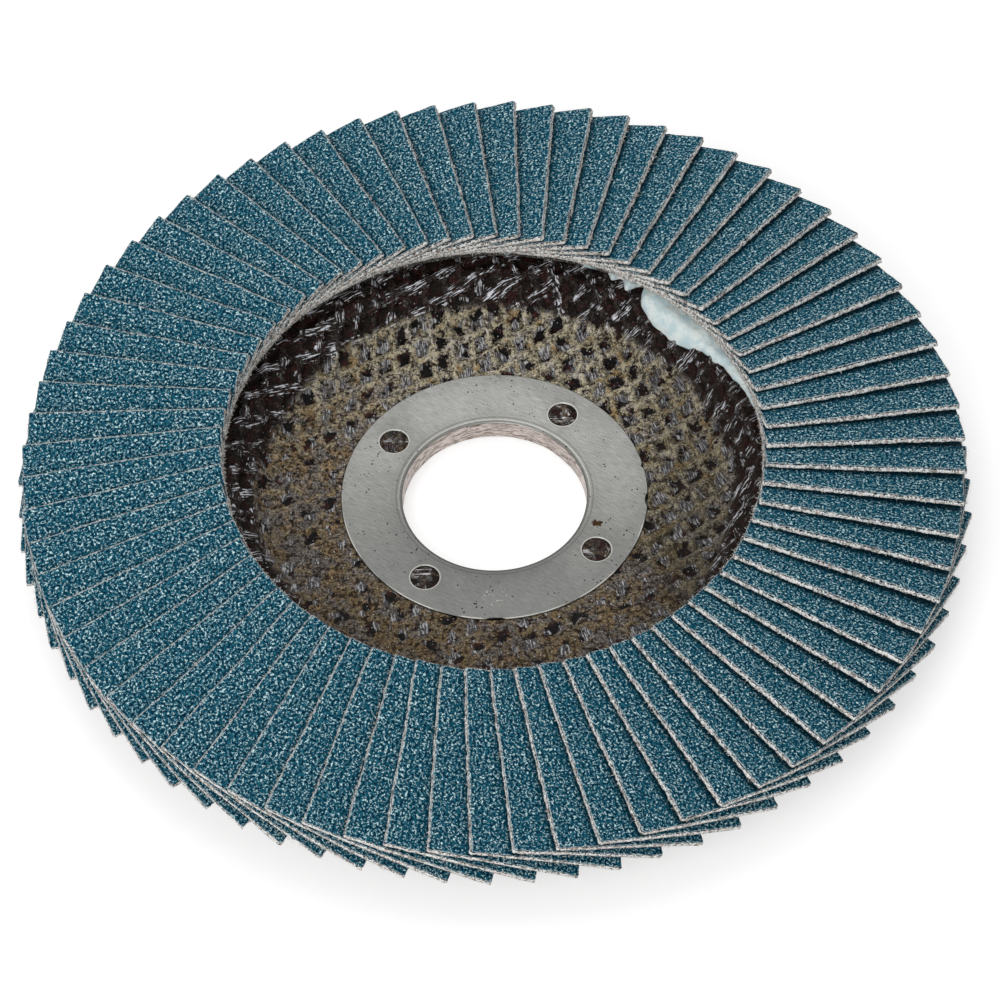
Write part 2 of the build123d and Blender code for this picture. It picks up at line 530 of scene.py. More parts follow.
def thread_spots(root, way, reach, bend, thick):
    """A thread end: three triangles of points, at its root, its middle and its tip."""
    side = np.cross(way, (0.0, 0.0, 1.0))
    side /= max(np.linalg.norm(side), 1e-6)
    other = np.cross(way, side)
    middle, tip = root + way * reach * 0.55, root + way * reach + bend
    spots = []
    for centre, size in ((root, thick), (middle, thick * 0.85), (tip, thick * 0.45)):
        for angle in (corner * math.tau / CORNERS for corner in range(CORNERS)):
            ray = side * math.cos(angle) + other * math.sin(angle)
            spots.append(centre + ray * size)
    spots = np.array(spots)
    spots[:, 2] = np.maximum(spots[:, 2], 0.01)
    return spots


def make_fray(strips, number, material):
    """Cut thread ends that stick out of the cloth along the free edge and both ends."""
    draw = np.random.default_rng(SEED * 100 + number)
    parts = []
    for strip in strips:
        for edge, count, longest in FRAYED_EDGES:
            depths = draw.uniform(0.22, strip.thickness, count)
            shares = draw.uniform(0.01, 0.99, count)
            for depth, share in zip(depths, shares):
                lean, dip = draw.normal(0, 0.55), draw.normal(0.1, 0.35)
                if edge == "free":
                    root, way = (share * strip.length, ROOT_DEPTH, depth), (lean, -1.0, dip)
                elif edge == "inner":
                    root, way = (ROOT_DEPTH, share * strip.width, depth), (-1.0, lean, dip)
                else:
                    root = (strip.length - ROOT_DEPTH, share * strip.width, depth)
                    way = (1.0, lean, dip)
                root, way = np.array(root), way / np.linalg.norm(way)
                reach = draw.uniform(longest * 0.35, longest)
                bend = draw.normal(0, 0.25, 3) * reach
                thick = draw.uniform(0.030, 0.056)
                spots = thread_spots(root, way, reach, bend, thick)
                parts.append((within_cad(strip.to_row(spots)), THREAD_FACES))
    piece = mesh_object(f"fray_{number:02d}", parts, material)
    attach(piece, "root")


def cut_thread():
    s = Shader("cut_thread")
    tone = s.noise(s.place(), 1.4, 2.0, 0.6)
    color = s.mix(s.band(tone, 0.40, 0.60), (0.62, 0.52, 0.44), CLOTH_PALE)
    return s.finish(color, 0.9, None, specular=0.1)


cloth_material = coated_cloth()
thread_material = cut_thread()
flap_nodes = sorted(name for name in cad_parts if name.startswith("flap_pair_"))
for number, node in enumerate(flap_nodes, start=1):
    make_flaps(node, number, cloth_material)
    make_fray(strips_of(node), number, thread_material)


# ---- Backing plate ----
RING_RADIUS = 18.515
COLLAR_RADIUS = 12.115
RING_SEAT = 2.1
RING_TOP = 3.0
HUB_FLOOR = 2.8
HUB_FLOOR_RADIUS = 27.4
MOUTH_RADIUS = 31.746
MOUTH_HEIGHT = 7.3
RIM_SLOPE = math.tan(math.radians(6.2))
PLATE_RADIUS = 53.0
RIM_DROP = 2.414
BACK_MOUTH = (32.907, 4.760)
BACK_FLOOR_RADIUS = 28.311
# The flaps and their adhesive hide the rim between these.
ADHESIVE_START = 34.5
ADHESIVE_END = 51.6
ANCHOR_RADIUS = 1.7
ANCHOR_CIRCLE = 14.765
ANCHOR_START = 54.7
ANCHOR_ANGLES = [math.radians(ANCHOR_START + 90 * k) for k in range(4)]
ANCHOR_CENTRES = [(ANCHOR_CIRCLE * math.cos(a), ANCHOR_CIRCLE * math.sin(a)) for a in ANCHOR_ANGLES]
PLUG_TOP = RING_TOP - 0.15
PLUG_COLUMNS = 48


def rim_height(radius):
    return MOUTH_HEIGHT - (radius - MOUTH_RADIUS) * RIM_SLOPE


# Front of the plate from the ring outwards, then its edge and its back, then the ring's seat.
PLATE_CORNERS = (
    (RING_RADIUS, HUB_FLOOR, 0, 0.21),
    (HUB_FLOOR_RADIUS, HUB_FLOOR, 2.0, 0.21),
    (MOUTH_RADIUS, MOUTH_HEIGHT, 0.8, 0.35),
    (ADHESIVE_START, rim_height(ADHESIVE_START), 0, 2.5),
    (ADHESIVE_END, rim_height(ADHESIVE_END), 0, 0.5),
    (PLATE_RADIUS, rim_height(PLATE_RADIUS), 0.35, 0.5),
    (PLATE_RADIUS, rim_height(PLATE_RADIUS) - RIM_DROP, 0.35, 0.9),
    (*BACK_MOUTH, 0.8, 0.9),
    (BACK_FLOOR_RADIUS, 0.0, 0.8, 0.9),
    (COLLAR_RADIUS, 0.0, 0, 1.1),
    (COLLAR_RADIUS, RING_SEAT, 0, 2.2),
    (RING_RADIUS, RING_SEAT, 0, 0.4),
)
PLATE_COLUMNS = 608
THREAD_PITCH_U = 2.8
THREAD_PITCH_V = 3.5


def weave_places(x, y):
    """The mesh's own coordinates, one unit per thread. The threads cross at a slant."""
    u = (x + (0.168 + 0.0062 * x) * y) / THREAD_PITCH_U
    v = (y - 0.62 * x - 0.003 * x * x) / THREAD_PITCH_V
    spot = np.stack((x, y, x * 0), axis=-1).reshape(-1, 3)

    def pull(seed):
        noise = 0.16 * lattice_noise(spot, 7.0, seed) + 0.07 * lattice_noise(spot, 2.1, seed + 1)
        return noise.reshape(x.shape)

    return u + pull(1), v + pull(3)


def weave_height(u, v):
    """Height of the woven surface, from 0 in the windows to about 1 on the threads."""

    def thread(place, half_width):
        off = np.abs(place - np.floor(place) - 0.5)
        return np.sqrt(np.clip(1 - (off / half_width) ** 2, 0, 1))

    over = np.sin(math.pi * u) * np.sin(math.pi * v)
    return np.maximum(thread(u, 0.25) * (0.8 + 0.3 * over), thread(v, 0.24) * (0.8 - 0.3 * over))


def make_plate(material):
    line = rounded_profile(PLATE_CORNERS)
    normals = profile_normals(line)
    grid = turn(line, PLATE_COLUMNS)
    steps = np.linalg.norm(np.diff(line, axis=0), axis=1)
    path = np.concatenate(((0,), np.cumsum(steps)))
    rim_row = int(np.argmax(line[:, 0] > PLATE_RADIUS - 0.01))
    back_row = int(np.argmax((line[:, 1] < 1e-6) & (np.arange(len(line)) > rim_row)))
    seat_row = int(np.argmax(line[:, 0] < COLLAR_RADIUS + 0.01))
    # The mesh is draped: on the slopes its threads keep their distance along the surface.
    flat_radius = RING_RADIUS + path
    back = np.arange(len(line)) > rim_row
    flat_radius[back] = line[back_row, 0] + (path[back_row] - path[back])
    scale = (flat_radius / line[:, 0])[:, None]
    mirror = np.where(back, -1.0, 1.0)[:, None]
    u, v = weave_places(grid[..., 0] * scale * mirror, grid[..., 1] * scale)

    # Where resin has pooled over the mesh, the weave shows less.
    spot = grid.reshape(-1, 3)
    x_at, y_at, z_at = np.moveaxis(grid, -1, 0)
    patchy = lattice_noise(spot, 8.0, 6).reshape(u.shape)
    clear = smoothstep(-0.30, 0.55, (y_at + 0.75 * x_at) / 20 + 0.30 * patchy)
    clear[back] = 0.6
    wall = smoothstep(HUB_FLOOR + 0.7, HUB_FLOOR + 1.7, z_at + 0.5 * patchy)
    wall[back] = smoothstep(0.2, 2.0, z_at[back]) * 0.5
    relief = (0.42 + 0.15 * wall) * (0.35 + 0.65 * np.maximum(clear, wall))
    height = relief * (weave_height(u, v) - 0.75)
    rough = lattice_noise(spot, 0.75, 7) * 0.055 + lattice_noise(spot, 0.36, 8) * 0.035
    height += rough.reshape(u.shape) * (1 + wall)
    # The part under the adhesive, the edge and the ring's seat stay as moulded.
    front = np.arange(len(line)) < rim_row
    calm = np.where(front, smoothstep(0, 1.0, line[:, 0] - RING_RADIUS + 0.25), 1)
    calm[front & (line[:, 0] > 33.4)] *= 0.15
    calm[back] *= 0.45
    calm[seat_row:] = 0
    height *= calm[:, None]
    height[back] = np.minimum(height[back], 0)
    outwards = height * normals[:, :1]
    moved = (outwards * (x_at / line[:, :1]), outwards * (y_at / line[:, :1]))
    grid = grid + np.stack((*moved, height * normals[:, 1:]), axis=-1)

    parts = [(grid.reshape(-1, 3), turned_faces(len(line), PLATE_COLUMNS, True))]
    weaves = [np.stack((u, v, u * 0), axis=-1).reshape(-1, 3)]
    walls, clears = [wall.ravel()], [clear.ravel()]
    # Resin plugs with lumpy tops, in the ring's anchor holes.
    for centre in ANCHOR_CENTRES:
        spread = grid_lines((0, ANCHOR_RADIUS, 12))
        top = np.stack((spread[::-1], spread * 0 + PLUG_TOP), axis=1)
        foot = ((0, RING_SEAT), (ANCHOR_RADIUS, RING_SEAT))
        plug = turn(np.concatenate((foot, top)), PLUG_COLUMNS)
        plug[..., :2] += centre
        plug = plug.reshape(-1, 3)
        lumps = 0.07 * lattice_noise(plug, 0.5, 12) + 0.04 * lattice_noise(plug, 0.22, 13)
        plug[:, 2] += lumps * (plug[:, 2] > RING_SEAT)
        parts.append((plug, turned_faces(len(top) + len(foot), PLUG_COLUMNS, False)))
        weaves.append(plug * (0.4, 0.4, 0))
        walls.append(np.full(len(plug), 0.75))
        clears.append(np.full(len(plug), 0.0))
    name = "backing_plate_moulding"
    piece = mesh_object(name, parts, material, weave=weaves, wall=walls, clear=clears)
    weld(piece)
    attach(piece, "root")
    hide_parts("backing_plate")


RESIN_BLACK = (0.003, 0.0022, 0.0022)
RESIN_RED = (0.048, 0.013, 0.010)
THREAD_KHAKI = (0.042, 0.033, 0.018)
THREAD_STRAW = (0.66, 0.59, 0.42)
THREAD_BEIGE = (0.72, 0.65, 0.57)
THREAD_OCHRE = (0.38, 0.25, 0.11)
RESIN_BROWN = (0.016, 0.009, 0.006)
POOLED_BROWN = (0.020, 0.012, 0.008)
POOLED_GREY = (0.27, 0.245, 0.225)
POOLED_GOLD = (0.37, 0.255, 0.135)
BUNDLE_GREY = (0.070, 0.060, 0.052)
REFLECTION_GREY = (0.09, 0.085, 0.09)
REFLECTION_PALE = (0.56, 0.56, 0.57)
FIBRE_GLINT = (0.90, 0.92, 0.98)


def fibre_resin():
    """Glass-fibre mesh in brown resin. weave is in threads; wall and clear are shares."""
    s = Shader("fibre_resin")
    weave = s.attribute("weave", "Vector")
    wall = s.attribute("wall")
    clear = s.attribute("clear")
    here = s.place()
    u, v, _ = s.axes(weave)

    # Threads in both directions. Their sides are ragged and some windows are nearly closed.
    ragged = s.scaled(s.noise(here, 1.25, 3.0, 0.75), 0.95, -0.475)
    filled = s.scaled(s.noise(here, 0.33, 1.0), -0.40, 0.20)
    side = s.plus(ragged, filled)

    def off_centre(place):
        return s.math("ABSOLUTE", s.minus(s.math("FRACT", place), 0.5))

    off_u, off_v = off_centre(u), off_centre(v)
    thread_u = s.band(s.plus(off_u, side), 0.25, 0.18)
    thread_v = s.band(s.plus(off_v, side), 0.25, 0.18)
    mesh = s.most(thread_u, thread_v)
    crown = s.most(s.band(off_u, 0.27, 0.02), s.band(off_v, 0.26, 0.02))

    def stretched_noise(along_u, along_v):
        spot = s.point(s.times(u, along_u), s.times(v, along_v))
        return s.noise(spot, 1.0, 2.0, 0.55)

    # Short parallel strokes along one thread direction or the other, for the painted glints of
    # single fibres.
    patch = s.noise(here, 0.42, 1.0)
    upright = s.band(stretched_noise(15.0, 2.2), 0.49, 0.60)
    slanted = s.band(stretched_noise(1.3, 17.0), 0.52, 0.60)

    # Grains of resin and glass: fine pale and dark specks, and larger dark hollows.
    speckle = s.band(s.noise(here, 3.2, 3.0, 0.8), 0.37, 0.63)
    hollows = s.noise(here, 1.5, 3.0, 0.7)
    blotch = s.noise(here, 0.55, 3.0, 0.65)
    red = s.noise(here, 0.8, 2.0, 0.6)
    dark = s.mix(s.band(red, 0.48, 0.72), RESIN_BLACK, RESIN_RED)
    tint = s.mix(s.band(blotch, 0.40, 0.50), THREAD_BEIGE, THREAD_STRAW)
    tint = s.mix(s.band(blotch, 0.54, 0.66, 0.0, 0.9), tint, THREAD_OCHRE)
    which = s.band(s.minus(off_u, off_v), -0.03, 0.03)
    strands = s.blend(which, stretched_noise(13.0, 3.0), stretched_noise(3.0, 16.0))
    soft = s.times(s.noise(here, 1.1, 2.0, 0.6), 0.9)
    stringy = s.plus(s.scaled(speckle, 0.24, s.times(strands, 0.7)), soft)
    stringy = s.band(stringy, 0.66, 1.18)
    x, y, _ = s.axes(here)
    # Paler towards the far side and darker towards the near side.
    clean = s.band(y, -14.0, 20.0, 0.60, 1.50)
    # Painted light and shade: the threads are paler at their crowns and darker at their sides.
    light = s.times(stringy, s.scaled(crown, 0.45, 0.55))
    grain = s.band(s.noise(here, 5.5, 2.0, 0.7), 0.36, 0.62, 0.42, 1.10)
    light = s.least(s.times(s.times(light, clean), grain), 1.0)
    straw = s.mix(light, THREAD_KHAKI, tint)
    straw = s.mix(s.band(hollows, 0.46, 0.38, 0.0, 0.92), straw, RESIN_BROWN)
    # Painted highlights: small bright glints scattered over the floor.
    sparkle = s.math("LESS_THAN", s.cells(here, 2.6), 0.16)
    sparkle = s.times(sparkle, s.band(hollows, 0.50, 0.56, 0.0, 0.85))

    # Open mesh: pale threads round dark, glossy windows, some of them with a painted reflection of
    # silvery fibres.
    chip = s.times(s.band(patch, 0.47, 0.51), s.band(hollows, 0.38, 0.46))
    window = s.mix(chip, dark, s.mix(upright, REFLECTION_GREY, REFLECTION_PALE))
    open_mesh = s.mix(mesh, window, straw)
    # Pooled resin: brown and mottled, with only traces of the threads and fewer windows.
    pooled = s.mix(s.band(blotch, 0.42, 0.56), POOLED_GREY, POOLED_GOLD)
    pooled = s.mix(speckle, POOLED_BROWN, pooled)
    trace = s.times(s.band(blotch, 0.46, 0.60, 0.15, 0.75), s.times(mesh, crown))
    pooled = s.mix(trace, pooled, straw)
    pooled = s.mix(s.band(hollows, 0.49, 0.40, 0.0, 0.88), pooled, RESIN_BROWN)
    few = s.band(s.noise(here, 0.30, 1.0), 0.46, 0.50)
    pooled = s.mix(s.times(s.minus(1.0, mesh), few), pooled, window)
    floor = s.mix(clear, pooled, open_mesh)
    floor = s.mix(sparkle, floor, FIBRE_GLINT)
    # The recess wall: black and dark red resin, with grey thread bundles and painted glints of
    # bright fibres across it.
    lying = s.times(s.times(slanted, thread_v), s.band(patch, 0.46, 0.52))
    standing = s.times(s.times(upright, thread_u), s.band(patch, 0.44, 0.38))
    fibre_glints = s.times(s.most(lying, standing), s.band(hollows, 0.36, 0.44))
    bundles = s.times(mesh, s.band(hollows, 0.40, 0.56, 0.0, 0.8))
    slope = s.mix(speckle, RESIN_BLACK, s.mix(s.band(red, 0.48, 0.62), RESIN_BROWN, RESIN_RED))
    slope = s.mix(s.times(bundles, speckle), slope, BUNDLE_GREY)
    slope = s.mix(fibre_glints, slope, FIBRE_GLINT)
    color = s.mix(wall, floor, slope)
    # It is browner on the right.
    color = s.mix(s.band(x, 13.0, 24.0, 0.0, 0.34), color, RESIN_BROWN)

    rough = s.blend(s.times(mesh, s.minus(1.0, wall)), 0.16, 0.62)
    ridges = s.scaled(speckle, 0.25, hollows)
    return s.finish(color, rough, s.bump(ridges, 0.25, 0.8), specular=0.10)


make_plate(fibre_resin())


# ---- Centre ring ----
BORE_RADIUS = 11.115
LIP_RADIUS = 0.30
LIP_START = BORE_RADIUS + LIP_RADIUS * 1.6
EDGE_RADIUS = 0.12
FLARE_WIDTH = 0.22
# Rolled rims: shares of the width, and heights over the ring's top.
EDGE_ROLL = ((1, 0), (0.62, -0.008), (0.29, -0.035), (0.08, -0.075), (0, -EDGE_RADIUS))
HOLE_ROLL = ((1, 0), (0.72, 0.018), (0.40, 0.008), (0.15, -0.045), (0, -0.12))


def ring_edge_radius(angles):
    """The ring's outer edge, with two nicks and a flattened stretch where it was knocked."""
    degrees_round = np.degrees((angles + math.pi) % math.tau - math.pi)
    nick, bite = 0.28 * hump(degrees_round, 12.3, 0.8), 0.30 * hump(degrees_round, -3.6, 2.6, 4)
    return RING_RADIUS - nick - bite - 0.22 * hump(degrees_round, -90.5, 3.2, 4)


def inside_circle(spot, loop):
    centre = loop.mean(axis=0)
    return np.hypot(*(spot - centre)) < np.hypot(*(loop[0] - centre)) * 0.9999


def level(loop, height):
    """A loop of (x, y) points as points at this height."""
    return np.column_stack((loop, np.full(len(loop), height)))


def flat_sheet(height, outer, inner, holes, faces_up):
    """A flat face between an outer loop, an inner loop and round holes. Loops are (n, 2)."""
    loops = [outer, inner, *holes]
    spots = [Vector(spot) for loop in loops for spot in loop.tolist()]
    edges, first = [], 0
    for loop in loops:
        count = len(loop)
        edges += [(first + k, first + (k + 1) % count) for k in range(count)]
        first += count
    vertices, _, faces, _, _, _ = delaunay_2d_cdt(spots, edges, [], 0, 1e-6)
    flat = np.array([tuple(vertex) for vertex in vertices])
    kept = []
    for face in faces:
        middle = flat[list(face)].mean(axis=0)
        # Where the outline is nicked, the triangle between two of its points lies outside.
        sector = int(math.atan2(middle[1], middle[0]) % math.tau / math.tau * len(outer))
        start, end = outer[sector % len(outer)], outer[(sector + 1) % len(outer)]
        (run_x, run_y), (to_x, to_y) = end - start, middle - start
        outside = run_x * to_y < run_y * to_x
        if not outside and not any(inside_circle(middle, hole) for hole in (inner, *holes)):
            kept.append(face if faces_up else face[::-1])
    return level(flat, height), kept


def circle(radius, count, centre=(0.0, 0.0)):
    angles = np.arange(count) / count * math.tau
    return np.column_stack((np.cos(angles), np.sin(angles))) * np.reshape(radius, (-1, 1)) + centre


def band(loops, turn_out):
    """A band of quads through loops of equal length."""
    faces = np.roll(turned_faces(len(loops), len(loops[0]), False), -1, axis=1)
    return np.concatenate(loops), faces[:, ::-1] if turn_out else faces


def make_ring(material):
    outer_count, inner_count, hole_count = 420, 300, 72
    angles = np.arange(outer_count) / outer_count * math.tau
    edge = ring_edge_radius(angles)
    parts = []
    flats = (
        (RING_TOP, edge - EDGE_RADIUS, LIP_START, ANCHOR_RADIUS + FLARE_WIDTH, True),
        (RING_SEAT, edge, COLLAR_RADIUS, ANCHOR_RADIUS, False),
    )
    for height, outer, inner, hole, faces_up in flats:
        holes = [circle(hole, hole_count, centre) for centre in ANCHOR_CENTRES]
        outer, inner = circle(outer, outer_count), circle(inner, inner_count)
        parts.append(flat_sheet(height, outer, inner, holes, faces_up))
    # The outer edge, rolled over at the top.
    rolls = [(edge - EDGE_RADIUS * share, RING_TOP + rise) for share, rise in EDGE_ROLL]
    rolls.append((edge, RING_SEAT))
    parts.append(band([level(circle(r, outer_count), z) for r, z in rolls], False))
    # Lip, bore wall, lower end and outside of the collar. The bore is a little uneven.
    lip = [(LIP_START, RING_TOP), (BORE_RADIUS + LIP_RADIUS * 1.35, RING_TOP - 0.03)]
    for turned in np.linspace(0.25, 1.0, 6) * math.pi / 2:
        radius = BORE_RADIUS + LIP_RADIUS * (1 - math.sin(turned))
        lip.append((radius, RING_TOP - 0.08 - LIP_RADIUS * (1 - math.cos(turned))))
    wall = [(BORE_RADIUS, z) for z in np.linspace(RING_TOP - 0.45, 0.2, 14)]
    collar = [(BORE_RADIUS + 0.15, 0.0), (COLLAR_RADIUS, 0.0), (COLLAR_RADIUS, RING_SEAT)]
    loops = []
    for radius, z in lip + wall + collar:
        loop = level(circle(radius, inner_count), z)
        if radius <= BORE_RADIUS + 1e-9:
            ripple = 0.020 * lattice_noise(loop * (0.4, 0.4, 2.4), 1.0, 21)
            loop[:, :2] *= 1 + ripple[:, None] / BORE_RADIUS
        loops.append(loop)
    parts.append(band(loops, True))
    # Anchor holes, each with a rim that the punch rolled in.
    rolls = [(ANCHOR_RADIUS + FLARE_WIDTH * share, RING_TOP + rise) for share, rise in HOLE_ROLL]
    rolls.append((ANCHOR_RADIUS, RING_SEAT))
    for centre in ANCHOR_CENTRES:
        parts.append(band([level(circle(r, hole_count, centre), z) for r, z in rolls], True))
    piece = mesh_object("centre_ring_pressing", parts, material)
    weld(piece)
    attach(piece, "root")
    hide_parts("centre_ring")


def ring_steel():
    """Satin steel with fine scratches, a few pits and a bore that has been handled."""
    s = Shader("ring_steel")
    here = s.place()
    x, y, z = s.axes(here)

    def turned(degrees):
        inputs = {"Vector": here, "Rotation": (0.0, 0.0, math.radians(degrees))}
        return s.node("ShaderNodeMapping", None, inputs)[0]

    # Fine straight scratches.
    drawn = s.vector_math("MULTIPLY", turned(33.0), (1 / 12, 1.0, 1.0))
    brushed = s.band(s.noise(drawn, 9.0, 2.0, 0.6), 0.30, 0.70)
    grain = s.noise(here, 8.0, 2.0, 0.7)
    level_place = s.point(x, y)
    radius = s.length(level_place)
    arcs = s.noise(s.point(s.times(radius, 6.0), 3.0), 1.0)
    cloud = s.noise(here, 0.22, 3.0, 0.6)
    tone = s.plus(s.scaled(brushed, 0.35, s.times(grain, 0.8)), s.times(cloud, 0.3))
    color = s.mix(s.band(tone, 0.35, 1.15), (0.150, 0.151, 0.142), (0.272, 0.272, 0.258))
    # Painted shade: darker towards the near side, and a little towards the left.
    painted_shade_near = s.band(s.scaled(x, 0.12, y), 17.0, -17.0, 0.0, 0.60)
    color = s.mix(painted_shade_near, color, (0.060, 0.062, 0.060))
    arc_marks = s.times(s.band(radius, 12.9, 11.6), s.band(arcs, 0.50, 0.62, 0.0, 0.5))
    color = s.mix(arc_marks, color, (0.065, 0.065, 0.062))
    # Painted highlights: a broken line on the near half of the outer edge, a line on the lip that
    # is strongest on its far side, and a ring round each anchor hole.
    quarter = s.vector_math("ABSOLUTE", turned(45 - ANCHOR_START))
    side = ANCHOR_CIRCLE * math.sqrt(0.5)
    from_hole = s.vector_math("SUBTRACT", quarter, (side, side, 0.0))
    from_hole = s.vector_math("MULTIPLY", from_hole, (1.0, 1.0, 0.0))
    hole_rim_highlights = s.line(s.length(from_hole), ANCHOR_RADIUS + 0.10, 0.13)
    edge = s.times(s.band(radius, 18.30, 18.42), s.band(y, 4.0, -6.0))
    edge = s.times(edge, s.band(cloud, 0.40, 0.55))
    lip = s.times(s.line(radius, BORE_RADIUS + 0.42, 0.12), s.band(y, -6.0, 6.0, 0.2, 0.9))
    painted_highlights = s.most(s.most(hole_rim_highlights, edge), lip)
    color = s.mix(s.times(painted_highlights, 0.55), color, (0.60, 0.59, 0.55))
    # Painted shade: a dark line runs round just outside the lip, for a groove that the mesh does
    # not have.
    groove_shade = s.line(radius, BORE_RADIUS + 0.80, 0.16)
    color = s.mix(s.times(groove_shade, 0.35), color, (0.06, 0.06, 0.058))

    def from_spot(x_at, y_at):
        return s.length(s.vector_math("SUBTRACT", level_place, (x_at, y_at, 0.0)))

    # A few short scratches, one brown spot of resin, and pits.
    curl = s.line(s.noise(here, 0.85, 1.0, 0.7), 0.5, 0.018)
    curl = s.times(curl, s.band(from_spot(-0.2, -15.2), 1.9, 1.3))
    curl = s.times(curl, s.band(s.noise(here, 2.6, 1.0), 0.52, 0.56))
    color = s.mix(s.times(curl, 0.5), color, (0.50, 0.50, 0.47))
    spotted = s.scaled(s.noise(here, 1.6, 2.0, 0.7), 1.8, from_spot(12.2, -4.6))
    color = s.mix(s.band(spotted, 1.55, 1.35), color, (0.030, 0.016, 0.007))
    pit_size = s.band(s.noise(here, 0.5, 2.0), 0.42, 0.68, 0.06, 0.17)
    pits = s.math("LESS_THAN", s.cells(here, 1.5), pit_size)
    color = s.mix(pits, color, (0.025, 0.022, 0.020))
    # The bore wall: pinkish, streaked and stained.
    in_bore = s.times(s.band(radius, 11.50, 11.30), s.band(z, 2.9, 2.6))
    streaks = s.noise(s.vector_math("MULTIPLY", here, (0.5, 0.5, 3.0)), 1.6, 3.0, 0.7)
    stain = s.noise(here, 0.7, 3.0, 0.65)
    bore = s.mix(s.band(streaks, 0.35, 0.62), (0.16, 0.125, 0.11), (0.62, 0.55, 0.51))
    bore = s.mix(s.band(stain, 0.58, 0.70, 0.0, 0.8), bore, (0.09, 0.055, 0.035))
    color = s.mix(in_bore, color, bore)
    rough = s.blend(pits, s.band(tone, 0.2, 1.0, 0.46, 0.36), 0.9)
    height = s.minus(s.scaled(brushed, 0.4, s.times(grain, 0.5)), pits)
    return s.finish(color, rough, s.bump(height, 0.02, 0.6), metallic=1.0)


make_ring(ring_steel())


# ---- Adhesive ----
EPOXY_PALE = (0.86, 0.94, 0.92)
EPOXY_BLUE = (0.62, 0.78, 0.82)
# How far the large run reaches inwards, at these degrees round the disc.
RUN_DEGREES = (9, 14, 20, 30, 38, 46, 51, 54, 56)
RUN_REACH = (0.0, 0.5, 0.85, 1.5, 2.5, 3.4, 3.0, 1.7, 0.0)
BEAD_RADIUS = 34.6
BEAD_INNER = 34.3
RUN_LIMIT = 30.2
# The recess wall climbs at 46 degrees.
WALL_CLIMB = 1.0355


def threaded_epoxy():
    """Pale, cloudy epoxy. Where fibrous is 1 it is full of cut threads."""
    s = Shader("epoxy_with_threads")
    here = s.place()
    cloud = s.noise(here, 0.8, 3.0, 0.6)
    color = s.mix(s.band(cloud, 0.35, 0.65), EPOXY_BLUE, EPOXY_PALE)
    threads = s.band(s.noise(here, 3.0, 3.0, 0.7), 0.36, 0.52)
    threads = s.mix(threads, CLOTH_DARK, CLOTH_PALE)
    color = s.mix(s.attribute("fibrous"), color, threads)
    return s.finish(color, 0.32, s.bump(s.noise(here, 1.6, 2.0), 0.25, 0.5), specular=0.4)


def dusty_epoxy():
    """The bed's own epoxy: dark with grinding dust, and pale only where it is clean."""
    s = Shader("epoxy_bed")
    here = s.place()
    clean = s.band(s.noise(here, 0.6, 3.0, 0.65), 0.56, 0.66)
    grain = s.band(s.noise(here, 3.0, 3.0, 0.7), 0.40, 0.62)
    dust = s.mix(grain, (0.020, 0.017, 0.015), (0.14, 0.13, 0.12))
    color = s.mix(clean, dust, EPOXY_BLUE)
    return s.finish(color, 0.6, s.bump(grain, 0.1, 0.6), specular=0.2)


def make_bead(material):
    """Epoxy squeezed out below the flaps' inner ends, with one large run towards the recess."""
    columns, rows = 1000, 16
    angles = np.arange(columns) / columns * math.tau
    ring_spots = level(circle(33, columns), 0)
    wander = lattice_noise(ring_spots, 3.0, 31) + 0.6 * lattice_noise(ring_spots, 1.1, 32)
    degrees_round = np.degrees(angles)
    run = np.interp(degrees_round, RUN_DEGREES, RUN_REACH)
    big_run = smoothstep(0.0, 0.6, run)
    small_run = 0.5 * hump(degrees_round, 59.0, 1.5) + 0.3 * hump(degrees_round, 63.0, 1.2)
    swell = np.clip(big_run + small_run * 2, 0, 1)
    reach = run + 0.45 * big_run * wander + small_run * 2.0
    inner = np.clip(BEAD_INNER - 0.8 * swell - np.clip(reach, 0, None), RUN_LIMIT, None)
    share = np.linspace(0, 1, rows)[:, None]
    radius = inner + (BEAD_RADIUS - inner) * share
    thickness = 0.10 + 0.10 * np.sin(share * math.pi * 0.62) ** 0.6
    thickness = thickness + swell * 0.80 * np.sin(np.clip(share * 1.6, 0, 1) * math.pi / 2) ** 0.40
    spots = np.stack((np.cos(angles) * radius, np.sin(angles) * radius, radius * 0), -1)
    lumps = lattice_noise(spots.reshape(-1, 3), 1.4, 33).reshape(radius.shape)
    thickness = thickness * (1 + 0.22 * lumps) + (0.10 * swell - 0.1) * (share < 0.01)
    on_wall = MOUTH_HEIGHT - (MOUTH_RADIUS - radius) * WALL_CLIMB
    base = np.where(radius > MOUTH_RADIUS, rim_height(radius), on_wall)
    base -= 0.16 * hump(radius, MOUTH_RADIUS, 0.5)
    above, below = spots.copy(), spots[::-1].copy()
    above[..., 2] = base + thickness
    # Its underside lies on the plate.
    below[..., 2] = base[::-1] - 0.01
    points = np.concatenate((above, below)).reshape(-1, 3)
    parts = [(points, turned_faces(2 * rows, columns, True))]
    fibrous = np.tile(1 - smoothstep(0.05, 0.3, big_run + small_run), 2 * rows)
    piece = mesh_object("adhesive_squeeze_out", parts, material, fibrous=[fibrous])
    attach(piece, "root")


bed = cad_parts["adhesive_ring"].data
bed.materials.clear()
bed.materials.append(dusty_epoxy())
make_bead(threaded_epoxy())


# ---- Camera, light and floor ----
# The camera's view: its distance and height over the ring's face, and a slight roll.
CAMERA_DISTANCE = 0.65686
CAMERA_ELEVATION = math.radians(52.87)
CAMERA_ROLL = math.radians(-1.40)
CAMERA_FOCAL_LENGTH = 196.1
CAMERA_SENSOR = 36.0
AIM_RIGHT = 0.00066
AIM_UP = -0.00062
# The world's strength as a light, and as a white background.
WORLD_LIGHTING = 0.40
WORLD_SEEN = 1.0
FLOOR_GREY = (0.71, 0.71, 0.71)
FLOOR_GLOW = 0.53
FLOOR_REACH = 3.0
FLOOR_GAP = 0.00002


